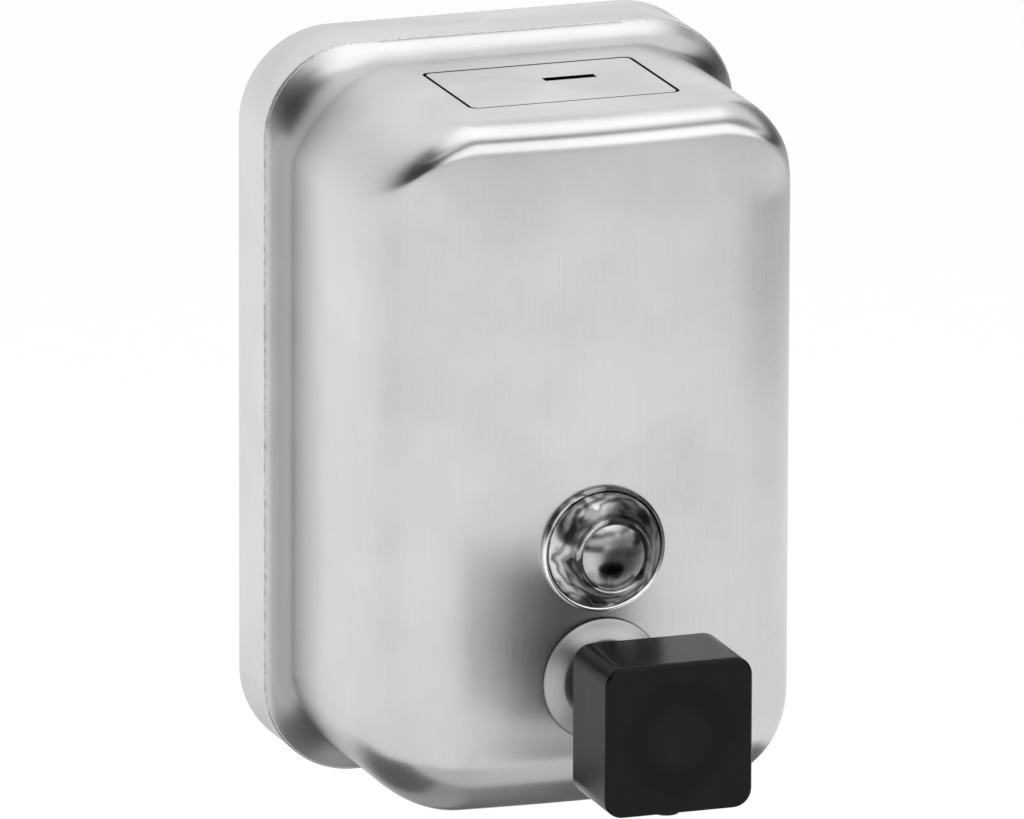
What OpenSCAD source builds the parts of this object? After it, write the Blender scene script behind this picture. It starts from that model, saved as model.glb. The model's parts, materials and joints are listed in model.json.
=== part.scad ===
// Wall-hung push-button soap dispenser in satin stainless steel.
// Millimetres. +X is to the right, +Y goes into the wall and +Z is up.
// The origin is on the wall plane, at the middle of the four bracket holes.

/* [Body] */
// Width of the rear rim
rim_w = 110; // [108:1:140]
// Height of the rear rim
rim_h = 167; // [160:1:200]
// Distance from the wall to the front of the rim's flange
rim_depth = 20; // [18:0.5:24]
// Distance from the wall to the front face
body_depth = 88; // [86:1:110]
// Step from the rim in to the drawn body
body_inset = 4; // [3.6:0.1:6]
// How much more the body's corners are rounded than the rim's, seen from the front
corner_ease = 2; // [0:0.5:3]
// Radius of the cove between the flange and the body
cove_r = 3.4; // [2:0.1:3.6]
// Radius along the top edge of the front
front_edge_r = 7; // [5:0.5:10]
// Radius along the upright edges of the front
side_edge_r = 23; // [14:0.5:24]
// Radius along the bottom edge of the front
bottom_edge_r = 18.5; // [12:0.5:22]
// Distance from the side to the middle of the ball that softens a front corner
ball_side = 31; // [28:0.5:36]
// Distance from the front and from the top to the middle of that ball
ball_in = 25; // [23:0.5:30]
// Thickness of the steel sheet
sheet = 1; // [0.8:0.1:1.4]
// Width of the hem that lies on the wall
hem_w = 6; // [4:0.5:10]
// Distance from the wall to the back of the tank
tank_gap = 11; // [10:0.5:14]

/* [Wall bracket] */
// Width of the bracket
bracket_w = 64; // [58:1:80]
// Distance from the rim's top and bottom to the bracket's plate
bracket_margin = 27.5; // [25:0.5:30]
// Thickness of the bracket and of the hanger clips
bracket_t = 1.5; // [1.2:0.1:2]
// Corner radius of the bracket's plate
bracket_corner = 5; // [3:0.5:8]
// Diameter of the wall screw holes
screw_hole_d = 5.2; // [4:0.1:6]
// Wall screw spacing, left to right
hole_pitch_x = 44; // [38:1:46]
// Wall screw spacing, top to bottom
hole_pitch_z = 88; // [80:1:92]
// Width of each hook and of its clip
hook_w = 16; // [10:1:20]
// Distance between the middles of the two hooks
hook_pitch = 40; // [34:1:44]
// Height of each hook's upturned lip
hook_rise = 6; // [4:0.5:8]
// Room between a hook's lip and the foot of its clip
hook_room = 2.5; // [1.5:0.5:4]
// Room between a clip's lip and the bracket's plate
clip_room = 1; // [0.5:0.25:2]
// Height of a clip's foot on the tank
clip_foot = 11; // [8:0.5:14]
// Width of the tongue that carries the lock tab
tongue_w = 18; // [14:1:30]
// Room between the rim's bottom wall and the lock tab
lock_room = 7; // [5:0.5:10]
// Diameter of the lock screw's shank
lock_d = 4; // [3:0.5:5]
// Length of the lock screw past its tab
lock_tip = 2; // [1:0.5:4]

/* [Fill lid] */
// Width of the lid, left to right
lid_w = 48; // [44:0.5:50]
// Distance from a side of the lid to where the rim's corner starts
lid_shoulder = 10; // [9.5:0.5:13]
// Depth of the lid, front to back
lid_d = 33; // [30:0.5:35]
// Corner radius of the lid
lid_corner = 1.5; // [1:0.25:3]
// Gap between the lid and the shell
lid_gap = 0.55; // [0.5:0.05:0.8]
// Gap between the lid and its seat
seat_gap = 0.2; // [0.15:0.05:0.3]
// Distance from the front face back to the lid
lid_setback = 18.5; // [14:0.5:20]
// Width of the seat under the lid's edge
seat_lap = 2.5; // [2:0.25:3]
// Width of the frame that is welded under the shell
frame_lap = 4; // [3:0.5:5]
// Thickness of the frame
frame_t = 1.2; // [1:0.1:1.5]
// Distance from the lid's left edge to its hinge axis
hinge_inset = 6; // [5.5:0.25:8]
// Distance from the lid's top down to its hinge axis
hinge_drop = 3.2; // [3:0.1:3.6]
// Diameter of the hinge pin
pin_d = 2.4; // [2:0.1:2.6]
// Width of the opening beside the hinge, past its axis
turn_room = 6; // [5:0.5:8]
// Length of the key slot
slot_l = 12; // [10:0.5:14]
// Width of the key slot
slot_w = 2; // [1.5:0.1:2.5]
// Distance from the lid's middle to the slot, to the right
slot_x = 5.4; // [4:0.2:7]
// Distance from the lid's middle to the slot, to the rear
slot_back = 3.2; // [0:0.2:5]

/* [Lid latch] */
// Width of the bolt
bolt_w = 10; // [8:0.5:12]
// Thickness of the bolt
bolt_t = 1.5; // [1.2:0.1:2]
// Travel of the bolt when the key pulls it
bolt_travel = 4; // [3:0.25:4.5]
// How far the bolt reaches under the seat
bolt_hold = 2; // [1.5:0.1:2.2]
// Length of the bolt behind the key slot
bolt_tail = 4; // [3:0.5:5]
// Length of the latch spring
latch_spring_l = 9; // [8.5:0.5:10]
// Outside diameter of the latch spring
latch_spring_d = 2.4; // [2:0.1:2.6]
// Wire of the latch spring
latch_wire = 0.35; // [0.3:0.05:0.4]
// Turns of the latch spring
latch_turns = 7; // [5:1:8]

/* [Sight gauge] */
// Height of the gauge above the pump axis
sight_above_pump = 29.75; // [29.5:0.25:40]
// Outside diameter of the bezel
bezel_d = 28.5; // [28:0.5:30]
// Height of the bezel's outer lip
lip_h = 1.4; // [1.2:0.1:2]
// Height of the bezel's lens ring above the panel
ring_h = 8; // [7:0.25:9]
// Diameter of the lens
lens_d = 15; // [14:0.25:15.5]
// Wall of the ring around the lens
ring_wall = 1.25; // [1:0.05:1.4]
// Rise of the lens dome above the ring
dome_rise = 3.2; // [2.5:0.1:4]
// Wall of the lens
lens_wall = 1.6; // [1.2:0.1:2]
// Diameter of the bezel's threaded shank
shank_d = 18; // [17:0.5:19]
// Thickness of the gauge's nut
sight_nut_t = 4.5; // [4:0.5:6]
// Width of the gauge's nut across its flats
sight_nut_w = 25; // [24:0.5:26]

/* [Pump] */
// Height of the pump axis above the bottom of the body
pump_rise = 32.25; // [29:0.25:40]
// Travel of the button
stroke = 15; // [12:0.5:16]
// Bore of the pump cylinder
cylinder_bore = 16; // [15.5:0.1:17]
// Wall of the pump cylinder
cylinder_wall = 2.2; // [1.8:0.1:2.6]
// Length of the pump cylinder
cylinder_l = 40; // [38:1:42]
// Diameter of the cylinder's flange
flange_d = 27; // [26.5:0.5:29]
// Thickness of the cylinder's flange
flange_t = 3; // [2.5:0.25:4]
// Diameter of the threaded neck through the panel
neck_d = 17; // [16.5:0.25:18]
// Diameter of the nose in front of the panel
nose_d = 14.6; // [14.4:0.1:15]
// Length of the nose in front of the escutcheon
nose_l = 9; // [8:0.5:10]
// Diameter of the escutcheon
escutcheon_d = 28; // [27:0.5:30]
// Thickness of the escutcheon at its edge
escutcheon_edge = 1.1; // [0.8:0.1:1.5]
// Thickness of the escutcheon at its hub
escutcheon_hub = 2.6; // [2:0.1:3]
// Diameter of the plunger stem
stem_d = 9; // [8.5:0.1:9.2]
// Bore of the plunger stem
stem_bore = 4.5; // [4:0.1:5]
// Length of the piston
piston_l = 6; // [5:0.5:7]
// Diameter of the check ball
ball_d = 7; // [6.5:0.1:7.2]
// Lift of the check ball
ball_lift = 1.5; // [1:0.1:2]
// Diameter of the inlet under the check ball
inlet_d = 5; // [4:0.1:5.5]
// Outside diameter of the dip tube
dip_d = 11; // [10:0.25:12]
// Wall of the dip tube
dip_wall = 1; // [0.8:0.1:1.2]
// Room between the dip tube and the tank's floor
dip_floor_room = 4; // [3:0.5:8]
// Slant of the dip tube's open end, in degrees
dip_slant = 20; // [0:5:30]
// Length of the inlet spigot under the cylinder
spigot_l = 5; // [3.5:0.5:6]
// Thickness of the rubber gaskets
gasket_t = 1.6; // [1.2:0.1:2]
// Outside diameter of the return spring
spring_d = 14.4; // [14:0.1:14.8]
// Wire of the return spring
spring_wire = 1; // [0.8:0.1:1.2]
// Turns of the return spring
spring_turns = 8; // [6:1:9]

/* [Button] */
// Side of the square button
button_w = 34; // [30:0.5:38]
// Thickness of the button, front to back
button_t = 21.5; // [20:0.5:24]
// Gap between the panel and the back of the button
button_gap = 28.5; // [28:0.5:32]
// Corner radius of the button, seen from the front
button_corner = 4.2; // [3:0.2:6]
// Radius of the button's front edge
button_edge = 0.9; // [0.5:0.1:1.4]
// Wall of the moulded button
button_wall = 2.4; // [2:0.1:3]
// Diameter of the dish in the button's front
dish_d = 23; // [18:0.5:26]
// Depth of the dish
dish_depth = 0.9; // [0.5:0.1:1.4]
// Diameter of the boss that takes the stem
boss_d = 13; // [12:0.5:15]
// Depth of the stem in its boss
stem_seat = 9; // [7:0.5:10]
// Outside diameter of the spout nozzle
nozzle_d = 7; // [6.5:0.25:8]
// Length of the spout nozzle that shows under the button
nozzle_drop = 2; // [1:0.25:2.5]
// Length of the spout nozzle inside the button
nozzle_hold = 6; // [5:0.5:7]
// Length of the duckbill inside the nozzle
bill_l = 4; // [3:0.25:5]

/* [Hidden] */
$fn = 64;
// Clearance of a running fit, on the radius
run_fit = 0.05;
// Clearance of a seated or threaded fit, on the radius
seat_fit = 0.04;
// Clear air between pieces that pass each other
air = 0.3;
// Extra length of a cut past the face that it opens
past = 1;
// Cut that clears the thin edge where a sweep runs out
run_out = 0.01;
// Rings for one turn of a spring, and sides of its wire
spring_rings = 8;
spring_sides = 6;

rim_corner = rim_w / 2 - lid_w / 2 - lid_shoulder;
body_w = rim_w - 2 * body_inset;
body_h = rim_h - 2 * body_inset;
body_corner = rim_corner + corner_ease;
body_top = body_h / 2;
body_floor = -body_h / 2 + sheet;
panel_in = body_depth - sheet;
pump_y = -body_h / 2 + pump_rise;
sight_y = pump_y + sight_above_pump;

// Share of a radius between a square corner and the middle of its arc, on each side
arc_in = 1 - sqrt(0.5);
side_reach = max(
    norm([ball_side, ball_in - body_corner]),
    norm([ball_side, ball_in - side_edge_r]),
    ball_reach(ball_side, ball_in, body_corner),
    ball_reach(ball_side, ball_in, side_edge_r)
);
top_ball_r = air + max(side_reach, ball_reach(ball_in, ball_in, front_edge_r));
bottom_ball_r = air + max(side_reach, ball_reach(ball_in, ball_in, bottom_edge_r));

bracket_h = rim_h - 2 * bracket_margin;
hook_out = tank_gap - bracket_t - hook_room;
hook_y = bracket_h / 2;
lock_y = -rim_h / 2 + sheet + lock_room;
lock_z = tank_gap / 2;
lock_head_d = 1.8 * lock_d;
lock_head_h = 0.55 * lock_d;
lock_drive_d = 0.55 * lock_d;
lock_drive_h = 0.7 * lock_head_h;

lid_t = sheet - seat_gap;
lid_front = body_depth - lid_setback;
lid_rear = lid_front - lid_d;
lid_mid = (lid_front + lid_rear) / 2;
lid_under = body_top - lid_t;
hinge_x = -lid_w / 2 + hinge_inset;
hinge_y = body_top - hinge_drop;
hinge_r = hinge_drop - lid_t;
lug_t = 1.5;
ear_t = 1.2;
lug_gap = lid_d / 2 + lid_gap + air;
pin_l = 2 * (lug_gap + lug_t);
pin_head_d = pin_d + 0.8;
pin_head_t = 0.6;
frame_top = body_top - sheet - seat_fit;
frame_under = frame_top - frame_t;
slot_z = lid_mid - slot_back;

bolt_top = frame_under - air;
bolt_under = bolt_top - bolt_t;
bolt_tip = lid_w / 2 - seat_lap + bolt_hold;
bolt_rear = slot_x - slot_l / 2 - bolt_tail;
bolt_land = 0.4;
guide_wall = 1;
guide_w = bolt_w + 2 * air + 2 * guide_wall;
guide_front = lid_w / 2 - seat_lap - air - bolt_travel;
guide_rear = bolt_rear - latch_spring_l - guide_wall;
guide_under = bolt_under - air / 2 - guide_wall;
flange_reach = 4;
latch_spring_y = bolt_under - air / 2 + latch_spring_d / 2 + run_fit;

bezel_r = bezel_d / 2;
lens_r = lens_d / 2;
ring_r = lens_r + seat_fit + ring_wall;
shank_r = shank_d / 2;
lens_set = 0.5;
lens_floor = 0.2;
lens_seat = body_depth + lens_floor;
oring_d = 1.6;
light_r = lens_r - oring_d;
shank_past = 2;
shank_end = panel_in - gasket_t - sight_nut_t - shank_past;
lip_r = 0.65;
lip_step = 1.5;

neck_r = neck_d / 2;
flange_face = panel_in - gasket_t;
cylinder_front = flange_face - flange_t;
cylinder_rear = cylinder_front - cylinder_l;
cylinder_r = cylinder_bore / 2 + cylinder_wall;
neck_end = body_depth + escutcheon_hub;
nose_end = neck_end + nose_l;
wiper_d = 1.7;
wiper_set = 2.5;
wiper_z = nose_end - wiper_set;
escutcheon_chamfer = 0.3;
hub_land = 0.8;
piston_front = cylinder_front - air;
piston_rear = piston_front - piston_l;
piston_boss_l = 2;
tail_step = 1;
tail_d = stem_d - 2 * tail_step;
piston_air = 0.2;
seal_w = 2.4;
cap_wall = 2;
cap_floor = 3;
cap_skirt = 9;
inlet_room = 8;
spigot_r = dip_d / 2 - dip_wall - seat_fit;
spigot_z = cylinder_rear - cap_floor - inlet_room / 2;
spigot_end = pump_y - cylinder_r - spigot_l;
spigot_wall = 1.2;
inlet_wall = 1;
ball_seat_z = cylinder_rear + sqrt(pow(ball_d / 2, 2) - pow(inlet_d / 2, 2)) + run_fit;
ball_air = 0.4;
cage_r = ball_d / 2 + ball_air;
cage_wall = 1.4;
retainer_z = ball_seat_z + ball_d / 2 + ball_lift + run_fit;
retainer_t = 1.5;
retainer_lap = 1;
cage_slot = 2.4;
cage_foot = 2;

button_back = body_depth + button_gap;
button_front = button_back + button_t;
stem_end = button_back + stem_seat;
duct_land = 0.5;
nozzle_z = stem_end + nozzle_d / 2 + duct_land;
nozzle_wall = 1.85;
nozzle_chamfer = 0.65;
bill_flange = 1.2;
bill_wall = 0.6;
bill_tip = 0.5;
bill_taper = 3;
duct_top = -button_w / 2 + nozzle_hold + bill_flange + seat_fit;
rib_set = 5;

// Front view: x to the right, y up and z out of the wall.
module front_view() {
    rotate([90, 0, 0]) children();
}

// Turned piece on the pump axis or the gauge axis: the section is radius by distance from the wall.
module turned(axis_y) {
    front_view() translate([0, axis_y, 0]) rotate_extrude() children();
}

// Section piece: a rectangle from one corner to the other.
module span(low, high) {
    translate(low) square([high[0] - low[0], high[1] - low[1]]);
}

// Solid block from one corner to the other.
module block(low, high) {
    translate(low) cube([high[0] - low[0], high[1] - low[1], high[2] - low[2]]);
}

module rounded_rect(w, h, r) {
    square([w - 2 * r, h], center = true);
    square([w, h - 2 * r], center = true);
    for (x = [-1, 1], y = [-1, 1]) {
        translate([x * (w / 2 - r), y * (h / 2 - r)]) circle(r);
    }
}

// Sweeps a section round a rounded rectangle. The section's x is measured from a corner's centre.
module sweep_round(w, h, r) {
    for (side = [0:3]) {
        across = side % 2 == 0 ? w : h;
        along = side % 2 == 0 ? h : w;
        rotate(90 * side) translate([across / 2 - r, along / 2 - r, 0]) {
            rotate_extrude(angle = 90) children();
            rotate([90, 0, 0]) linear_extrude(along - 2 * r) children();
        }
    }
}

// Wire wound into a spring along z, from 0 to its length.
function coil_point(d, wire, length, turns, k) =
    let (a = 360 * k / spring_rings, r = (d - wire) / 2, n = spring_rings * turns)
    [r * cos(a), r * sin(a), wire / 2 + (length - wire) * k / n];

function coil_gap(d, wire, length, turns) =
    let (n = spring_rings * turns, near = ceil(spring_rings * 0.75))
    min([for (i = [0:n], j = [i + near:1:n])
        norm(coil_point(d, wire, length, turns, i) - coil_point(d, wire, length, turns, j))]) - wire;

module coil(d, wire, length, turns) {
    n = spring_rings * turns;
    rings = [for (k = [0:n], s = [0:spring_sides - 1])
        let (a = 360 * k / spring_rings, b = 360 * s / spring_sides, r = (d - wire) / 2,
            out = r + wire / 2 * cos(b))
        [out * cos(a), out * sin(a),
            wire / 2 + (length - wire) * k / n + wire / 2 * sin(b)]];
    sides = [for (k = [0:n - 1], s = [0:spring_sides - 1])
        let (t = (s + 1) % spring_sides, low = k * spring_sides, up = low + spring_sides)
        each [[low + s, up + s, up + t], [low + s, up + t, low + t]]];
    start = [for (s = [1:spring_sides - 2]) [0, s, s + 1]];
    finish = [for (s = [1:spring_sides - 2])
        [n * spring_sides, n * spring_sides + s + 1, n * spring_sides + s]];
    polyhedron(rings, concat(sides, start, finish));
}

// Distance from a ball's middle to the middle of a rounded edge, both measured from the same two faces.
function ball_reach(in_a, in_b, r) = norm([in_a - arc_in * r, in_b - arc_in * r]);

// Half section of the drawn body, moved in by a wall.
module body_section(wall) {
    foot = rim_depth - sheet;
    edge = front_edge_r - wall;
    span([0, foot], [body_corner - wall, body_depth - front_edge_r]);
    span([0, foot], [body_corner - front_edge_r, body_depth - wall]);
    intersection() {
        translate([body_corner - front_edge_r, body_depth - front_edge_r]) circle(edge);
        translate([body_corner - front_edge_r, body_depth - front_edge_r]) square(edge);
    }
    difference() {
        span([0, foot], [body_corner + cove_r, rim_depth + cove_r]);
        translate([body_corner + cove_r, rim_depth + cove_r]) circle(cove_r + wall);
    }
}

// What the large upright edge radius takes off the body.
module upright_edges(wall) {
    for (turn = [0, 1]) {
        mirror([turn, 0, 0]) translate([body_w / 2 - side_edge_r, 0, body_depth - side_edge_r])
            rotate([90, 0, 0]) linear_extrude(body_h + 2 * past, center = true) difference() {
                square(side_edge_r + past);
                circle(side_edge_r - wall);
            }
    }
}

// What the large bottom edge radius takes off the body.
module bottom_edge(wall) {
    translate([0, -body_h / 2 + bottom_edge_r, body_depth - bottom_edge_r])
        rotate([90, 0, 90]) linear_extrude(body_w + 2 * past, center = true) difference() {
            translate([-bottom_edge_r - past, 0]) square(bottom_edge_r + past);
            circle(bottom_edge_r - wall);
        }
}

// What the balls take off the four front corners, where the two edge radii meet.
module ball_corners(wall) {
    for (x = [0, 1], y = [0, 1]) {
        mirror([x, 0, 0]) mirror([0, y, 0])
            translate([body_w / 2 - ball_side, body_h / 2 - ball_in, body_depth - ball_in]) difference() {
                cube([ball_side + past, ball_in + past, ball_in + past]);
                sphere((y == 0 ? top_ball_r : bottom_ball_r) - wall);
            }
    }
}

module body_solid(wall) {
    difference() {
        union() {
            sweep_round(body_w, body_h, body_corner) body_section(wall);
            block(
                [-body_w / 2 + body_corner, -body_h / 2 + body_corner, rim_depth - sheet],
                [body_w / 2 - body_corner, body_h / 2 - body_corner, body_depth - wall]
            );
        }
        upright_edges(wall);
        bottom_edge(wall);
        ball_corners(wall);
    }
}

module front_shell() {
    color("silver") front_view() difference() {
        union() {
            difference() {
                body_solid(0);
                body_solid(sheet);
            }
            translate([0, 0, rim_depth - sheet]) linear_extrude(sheet) difference() {
                rounded_rect(rim_w, rim_h, rim_corner);
                rounded_rect(body_w + 2 * cove_r, body_h + 2 * cove_r, body_corner + cove_r);
            }
        }
        translate([0, pump_y, panel_in - past]) cylinder(d = neck_d + 2 * air, h = sheet + 2 * past);
        translate([0, sight_y, panel_in - past]) cylinder(d = shank_d + 2 * air, h = sheet + 2 * past);
        translate([0, body_top - sheet - past, lid_mid]) rotate([-90, 0, 0])
            linear_extrude(sheet + 2 * past)
            rounded_rect(lid_w + 2 * lid_gap, lid_d + 2 * lid_gap, lid_corner + lid_gap);
    }
}

module rim_band() {
    color("silver") front_view() difference() {
        sweep_round(rim_w, rim_h, rim_corner) {
            span([rim_corner - sheet, 0], [rim_corner, rim_depth - sheet]);
            span([rim_corner - hem_w, 0], [rim_corner, sheet]);
        }
        translate([0, -rim_h / 2 - past, lock_z]) rotate([-90, 0, 0])
            cylinder(d = lock_d + 2 * air, h = sheet + 2 * past);
    }
}

module back_plate() {
    inset = 2 * (sheet + seat_fit);
    color("gainsboro") front_view() translate([0, 0, tank_gap]) linear_extrude(sheet)
        rounded_rect(rim_w - inset, rim_h - inset, rim_corner - inset / 2);
}

// Bent strip of the bracket or of a clip: its side view is drawn as distance from the wall by height.
module bent_strip(x, width) {
    translate([x + width / 2, 0, 0]) rotate([0, -90, 0]) linear_extrude(width) children();
}

module hanger_clips() {
    step_y = hook_y + hook_rise;
    lip_z = bracket_t + clip_room;
    lip_low = hook_y + bracket_t;
    color("gainsboro") front_view() for (side = [-1, 1]) bent_strip(side * hook_pitch / 2, hook_w) {
        span([tank_gap - bracket_t, step_y], [tank_gap, step_y + clip_foot]);
        span([lip_z, step_y], [tank_gap, step_y + bracket_t]);
        span([lip_z, lip_low], [lip_z + bracket_t, step_y + bracket_t]);
    }
}

module wall_bracket() {
    tab_z = lock_z + lock_d;
    color("lightgray") front_view() difference() {
        union() {
            linear_extrude(bracket_t) {
                rounded_rect(bracket_w, bracket_h, bracket_corner);
                span([-tongue_w / 2, lock_y], [tongue_w / 2, 0]);
            }
            for (side = [-1, 1]) bent_strip(side * hook_pitch / 2, hook_w) {
                span([0, hook_y - bracket_t], [hook_out, hook_y]);
                span([hook_out - bracket_t, hook_y - bracket_t], [hook_out, hook_y + hook_rise]);
            }
            bent_strip(0, tongue_w) span([0, lock_y], [tab_z, lock_y + bracket_t]);
        }
        for (x = [-1, 1], y = [-1, 1]) {
            translate([x * hole_pitch_x / 2, y * hole_pitch_z / 2, -past])
                cylinder(d = screw_hole_d, h = bracket_t + 2 * past);
        }
        translate([0, lock_y - past, lock_z]) rotate([-90, 0, 0])
            cylinder(d = lock_d + 2 * seat_fit, h = bracket_t + 2 * past);
    }
}

module lock_screw() {
    color("silver") front_view() translate([0, -rim_h / 2, lock_z]) rotate([-90, 0, 0]) difference() {
        union() {
            translate([0, 0, -lock_head_h]) cylinder(d = lock_head_d, h = lock_head_h);
            cylinder(d = lock_d, h = sheet + lock_room + bracket_t + lock_tip);
        }
        translate([0, 0, -lock_head_h - past])
            cylinder(d = lock_drive_d, h = past + lock_drive_h, $fn = 6);
    }
}

// Opening of the filler frame: full depth beside the hinge, and a seat round the rest of the lid.
module frame_opening() {
    span(
        [-lid_w / 2 - lid_gap - air, -lid_d / 2 - lid_gap],
        [hinge_x + turn_room, lid_d / 2 + lid_gap]
    );
    span([-lid_w / 2, -lid_d / 2 + seat_lap], [lid_w / 2 - seat_lap, lid_d / 2 - seat_lap]);
}

// Ear round the hinge pin, drawn from the front and joined to what is above it.
module hinge_ear(top_y) {
    translate([hinge_x, hinge_y]) circle(hinge_r);
    span([hinge_x - hinge_r, hinge_y], [hinge_x + hinge_r, top_y]);
}

module filler_frame() {
    reach = 2 * (lid_gap + frame_lap);
    color("gainsboro") front_view() difference() {
        union() {
            translate([0, frame_under, lid_mid]) rotate([-90, 0, 0]) linear_extrude(frame_t) difference() {
                square([lid_w + reach, lid_d + reach], center = true);
                frame_opening();
            }
            for (z = [lid_mid - lug_gap - lug_t, lid_mid + lug_gap]) {
                translate([0, 0, z]) linear_extrude(lug_t) hinge_ear(frame_top);
            }
        }
        translate([hinge_x, hinge_y, lid_mid]) {
            cylinder(d = pin_d + 2 * seat_fit, h = pin_l + 2 * past, center = true);
            for (z = [-pin_l / 2 - past, pin_l / 2]) {
                translate([0, 0, z]) cylinder(d = pin_head_d + 2 * seat_fit, h = past);
            }
        }
    }
}

module hinge_pin() {
    color("silver") front_view() translate([hinge_x, hinge_y, lid_mid]) {
        cylinder(d = pin_d, h = pin_l, center = true);
        for (z = [-pin_l / 2 - pin_head_t, pin_l / 2]) {
            translate([0, 0, z]) cylinder(d = pin_head_d, h = pin_head_t);
        }
    }
}

module lid_plate() {
    color("silver") front_view() difference() {
        union() {
            translate([0, lid_under, lid_mid]) rotate([-90, 0, 0]) linear_extrude(lid_t)
                rounded_rect(lid_w, lid_d, lid_corner);
            for (z = [lid_rear + lid_corner, lid_front - lid_corner - ear_t]) {
                translate([0, 0, z]) linear_extrude(ear_t) hinge_ear(body_top - lid_t / 2);
            }
        }
        translate([hinge_x, hinge_y, lid_rear - past])
            cylinder(d = pin_d + 2 * run_fit, h = lid_d + 2 * past);
        key_slot(lid_under - past, body_top + past);
    }
}

// Straight cut for the key, from one height to the other.
module key_slot(low_y, high_y) {
    block(
        [slot_x - slot_l / 2, low_y, slot_z - slot_w / 2],
        [slot_x + slot_l / 2, high_y, slot_z + slot_w / 2]
    );
}

module latch_guide() {
    side_z = guide_w / 2;
    room_z = bolt_w / 2 + air;
    color("darkgray") front_view() difference() {
        union() {
            block([guide_rear, guide_under, slot_z - side_z], [guide_front, lid_under, slot_z + side_z]);
            block(
                [guide_rear + flange_reach, lid_under - guide_wall, slot_z - side_z - flange_reach],
                [guide_front, lid_under, slot_z + side_z + flange_reach]
            );
        }
        block(
            [guide_rear + guide_wall, bolt_under - air / 2, slot_z - room_z],
            [guide_front + past, bolt_top + air / 2, slot_z + room_z]
        );
        block(
            [guide_rear + guide_wall, bolt_under - air / 2, slot_z - latch_spring_d],
            [bolt_rear + past, lid_under + past, slot_z + latch_spring_d]
        );
        key_slot(bolt_under, lid_under + past);
    }
}

module latch_bolt() {
    ramp = bolt_t - bolt_land;
    color("silver") front_view() difference() {
        block([bolt_rear, bolt_under, slot_z - bolt_w / 2], [bolt_tip, bolt_top, slot_z + bolt_w / 2]);
        key_slot(bolt_under - past, bolt_top + past);
        translate([bolt_tip, bolt_under, slot_z - bolt_w / 2 - past]) linear_extrude(bolt_w + 2 * past)
            polygon([[past, -past], [past, ramp + past], [0, ramp], [-ramp, 0], [-ramp - past, -past]]);
    }
}

module latch_spring() {
    color("silver") front_view() translate([bolt_rear - latch_spring_l, latch_spring_y, slot_z])
        rotate([0, 90, 0]) coil(latch_spring_d, latch_wire, latch_spring_l, latch_turns);
}

module sight_bezel() {
    sweep_r = ring_h - lip_step;
    ring_top = body_depth + ring_h;
    color("lightgray") turned(sight_y) difference() {
        union() {
            difference() {
                span([0, body_depth], [bezel_r - 2 * lip_r, ring_top - lip_r]);
                translate([ring_r + sweep_r, ring_top - lip_r]) circle(sweep_r);
                span([ring_r, ring_top - lip_r - run_out], [bezel_r, ring_top]);
            }
            span([bezel_r - 2 * lip_r, body_depth], [bezel_r, body_depth + lip_h - lip_r]);
            translate([bezel_r - lip_r, body_depth + lip_h - lip_r]) circle(lip_r);
            translate([ring_r - ring_wall / 2, ring_top - lip_r]) circle(ring_wall / 2);
            span([0, shank_end], [shank_r, body_depth]);
        }
        span([0, lens_seat], [lens_r + seat_fit, ring_top + past]);
        span([0, shank_end - past], [light_r, ring_top]);
    }
}

module sight_lens() {
    foot = lens_seat + oring_d;
    rim_z = body_depth + ring_h - lens_set;
    dome_r = (pow(lens_r, 2) + pow(dome_rise, 2)) / (2 * dome_rise);
    centre_z = rim_z + dome_rise - dome_r;
    color([0.25, 0.25, 0.27, 0.6]) turned(sight_y) difference() {
        union() {
            span([0, foot], [lens_r, rim_z]);
            intersection() {
                translate([0, centre_z]) circle(dome_r);
                span([0, rim_z], [lens_r, rim_z + dome_rise + past]);
            }
        }
        intersection() {
            translate([0, centre_z]) circle(dome_r - lens_wall);
            span([0, foot - past], [lens_r - lens_wall, rim_z + dome_rise]);
        }
        span([0, foot - past], [lens_r - lens_wall, rim_z - lens_wall]);
    }
}

module lens_oring() {
    color("dimgray") turned(sight_y)
        translate([lens_r - oring_d / 2, lens_seat + oring_d / 2]) circle(d = oring_d - 2 * seat_fit);
}

module sight_gasket() {
    color("dimgray") turned(sight_y)
        span([shank_r + air, panel_in - gasket_t], [sight_nut_w / 2, panel_in]);
}

module sight_nut() {
    color("silver") front_view() translate([0, sight_y, panel_in - gasket_t - sight_nut_t]) difference() {
        cylinder(d = sight_nut_w / cos(30), h = sight_nut_t, $fn = 6);
        translate([0, 0, -past]) cylinder(r = shank_r + seat_fit, h = sight_nut_t + 2 * past);
    }
}

module valve_body() {
    color("whitesmoke") turned(pump_y) difference() {
        union() {
            span([0, cylinder_rear], [cylinder_r, cylinder_front + flange_t]);
            span([0, cylinder_front], [flange_d / 2, flange_face]);
            span([0, cylinder_front], [neck_r, neck_end]);
            span([0, cylinder_front], [nose_d / 2, nose_end]);
        }
        span([0, cylinder_rear - past], [cylinder_bore / 2, cylinder_front]);
        span([0, cylinder_front - past], [stem_d / 2 + run_fit, nose_end + past]);
        span(
            [0, wiper_z - wiper_d / 2 - seat_fit],
            [stem_d / 2 + run_fit + wiper_d + seat_fit, wiper_z + wiper_d / 2 + seat_fit]
        );
    }
}

module valve_gasket() {
    color("dimgray") turned(pump_y) span([neck_r + air, flange_face], [flange_d / 2, panel_in]);
}

module valve_escutcheon() {
    edge_r = escutcheon_d / 2;
    bore_r = neck_r + seat_fit;
    color("silver") turned(pump_y) polygon([
        [bore_r, body_depth],
        [edge_r, body_depth],
        [edge_r, body_depth + escutcheon_edge - escutcheon_chamfer],
        [edge_r - escutcheon_chamfer, body_depth + escutcheon_edge],
        [bore_r + hub_land, body_depth + escutcheon_hub],
        [bore_r, body_depth + escutcheon_hub]
    ]);
}

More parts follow.
